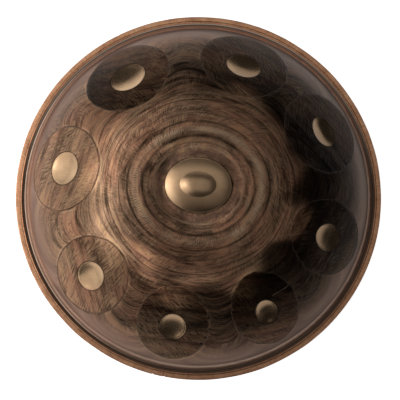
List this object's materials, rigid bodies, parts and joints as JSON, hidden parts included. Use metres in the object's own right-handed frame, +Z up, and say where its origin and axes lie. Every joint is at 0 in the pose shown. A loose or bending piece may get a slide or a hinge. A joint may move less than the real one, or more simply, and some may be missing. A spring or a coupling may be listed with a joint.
{
  "type": "handpan",
  "caption": "Lens-shaped steel handpan: two domed shells joined at an edged flange, a raised oval middle note, a ring of dimpled note fields, and a necked port underneath.",
  "frame": {"origin": "on the ground under the middle of the port, on the axis of the two shells", "axes": "+Z up through the middle of the raised note; +X to the player's right and +Y away from the player, as it is looked down on"},
  "size_m": [0.53, 0.53, 0.2325],
  "materials": {
    "upper_steel": "heat-coloured bronze brown, brushed and polished",
    "lower_steel": "heat-coloured bronze brown, brushed",
    "adhesive": "cured two-part adhesive, dark and matt",
    "copper_edging": "copper-coloured metal, cross-brushed, lightly tarnished"
  },
  "bodies": {
    "root": {"top_shell": "upper_steel", "bottom_shell": "lower_steel", "seam_adhesive": "adhesive", "rim_band": "copper_edging"}
  },
  "joints": []
}
